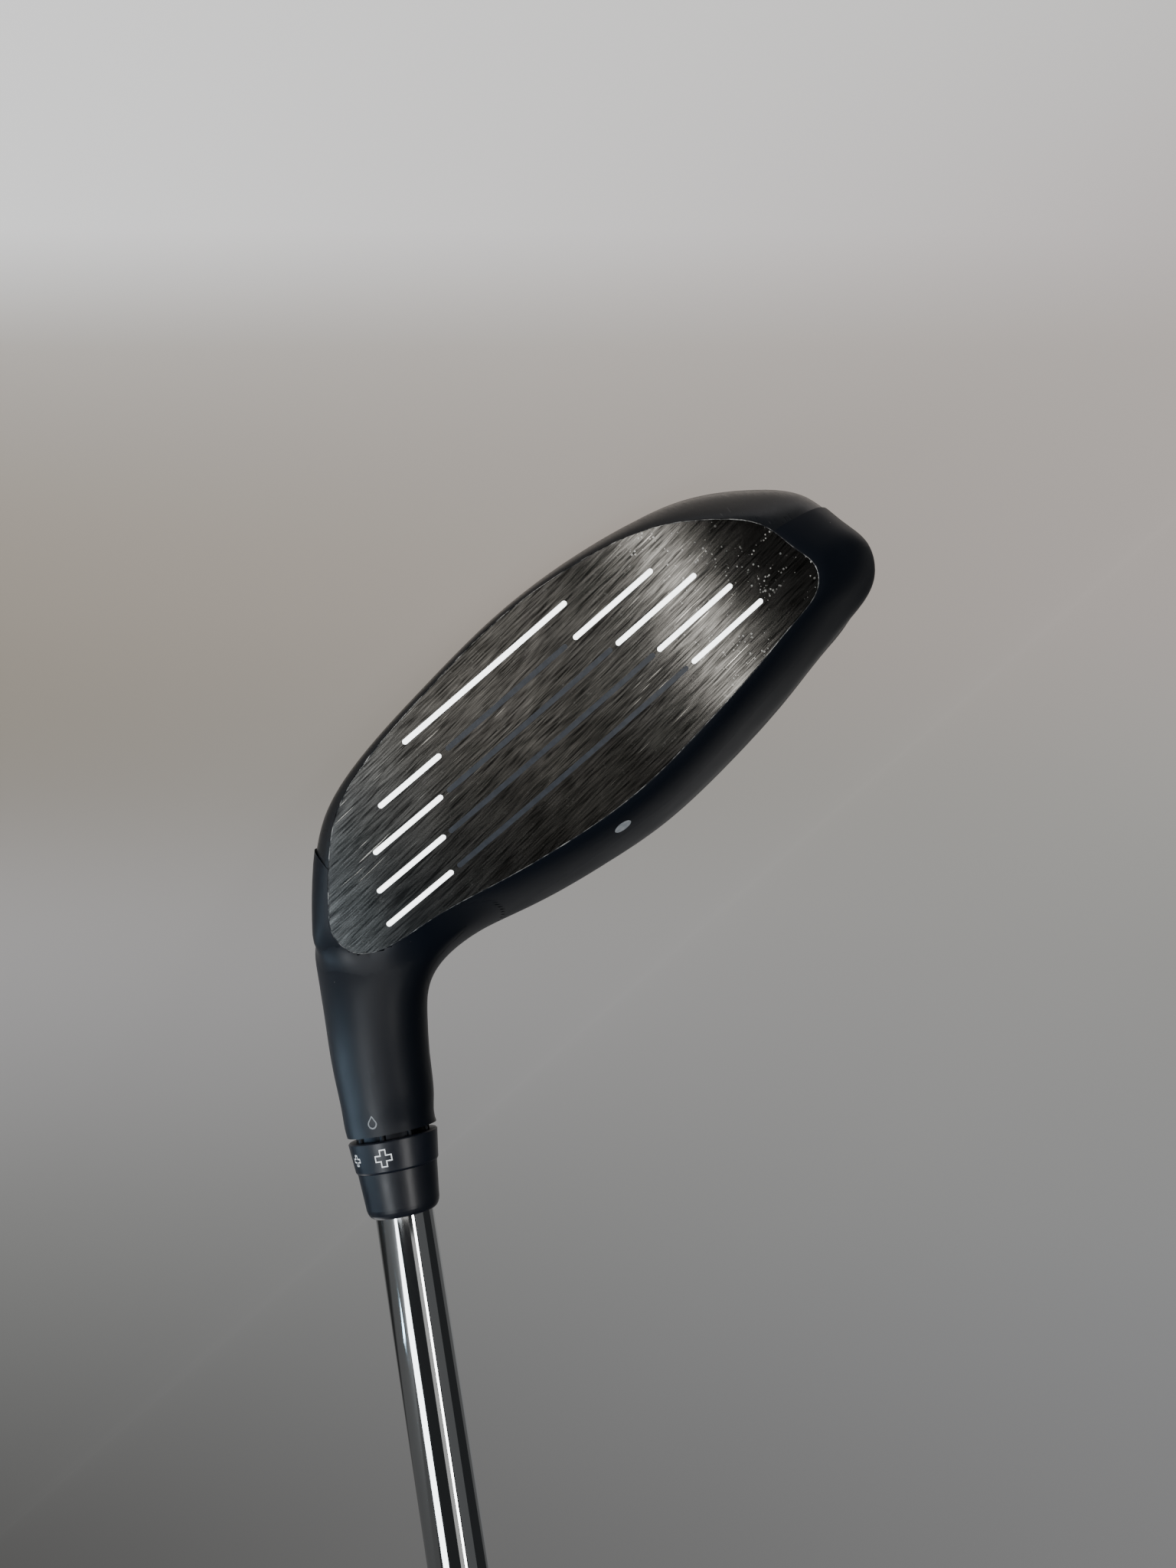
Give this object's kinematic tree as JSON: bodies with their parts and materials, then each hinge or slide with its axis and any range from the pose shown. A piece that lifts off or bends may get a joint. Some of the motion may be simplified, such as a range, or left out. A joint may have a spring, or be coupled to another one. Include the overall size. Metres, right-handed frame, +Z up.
{
  "type": "hybrid golf club",
  "caption": "Right-handed hybrid golf club with adjustable hosel, brushed face with white score lines, matte navy-black head, chrome steel shaft and rubber grip.",
  "frame": {"origin": "spot on the sole where the club rests on the ground at address", "axes": "+Z up from the ground; the face looks along -Y; the toe points along -X; the shaft leans towards +X"},
  "size_m": [0.6161, 0.07, 0.8788],
  "materials": {
    "body_paint": "matte",
    "face_metal": "brushed",
    "sole_finish": "satin",
    "white_paint": "gloss",
    "dark_paint": "matte",
    "grey_mark": "satin",
    "weight_metal": "satin",
    "screw_steel": "satin",
    "nylon": "satin",
    "sleeve_alu": "satin",
    "collar_anodised": "satin",
    "ferrule_plastic": "satin",
    "shaft_chrome": "mirror",
    "plug_plastic": "matte",
    "tape": "matte",
    "grip_rubber": "matte",
    "cap_rubber": "satin"
  },
  "bodies": {
    "club": {"shaft": "shaft_chrome", "grip": "grip_rubber", "grip_cap": "cap_rubber", "grip_tape": "tape", "adapter_sleeve": "sleeve_alu", "setting_collar": "collar_anodised", "collar_marks": "white_paint", "ferrule": "ferrule_plastic", "tip_plug": "plug_plastic"},
    "retainer": {"screw_retainer": "nylon"},
    "head": {"head_body": "body_paint", "face_plate": "face_metal", "crown_plate": "body_paint", "sole_plate": "sole_finish", "white_line_fill": "white_paint", "dark_line_fill": "dark_paint", "alignment_dot": "grey_mark", "hosel_mark": "grey_mark"},
    "screw": {"hosel_screw": "screw_steel"},
    "weight": {"rear_weight": "weight_metal"},
    "weight_bolt": {"weight_screw": "screw_steel"}
  },
  "joints": [
    {"name": "head_travel", "type": "slide", "parent": "club", "child": "retainer", "axis": [-0.5038, 0, -0.8638], "range_m": [0, 0.055]},
    {"name": "head_index", "type": "hinge", "parent": "retainer", "child": "head", "pos_m": [0.05117, 0.003, 0.03408], "axis": [0.5038, 0, 0.8638], "continuous": true},
    {"name": "screw_turn", "type": "hinge", "parent": "retainer", "child": "screw", "pos_m": [0.0411, 0.003, 0.0168], "axis": [0.5038, 0, 0.8638], "continuous": true},
    {"name": "weight_travel", "type": "slide", "parent": "head", "child": "weight", "axis": [0, 0.342, -0.9397], "range_m": [0, 0.0063]},
    {"name": "weight_screw_turn", "type": "hinge", "parent": "weight", "child": "weight_bolt", "pos_m": [-0.006, 0.0345, 0.0051], "axis": [0, 0.342, -0.9397], "range_deg": [0, 3240]}
  ],
  "couplings": [
    {"joint": "weight_screw_turn", "follows": "weight_travel", "rad_per_m": 8976}
  ]
}
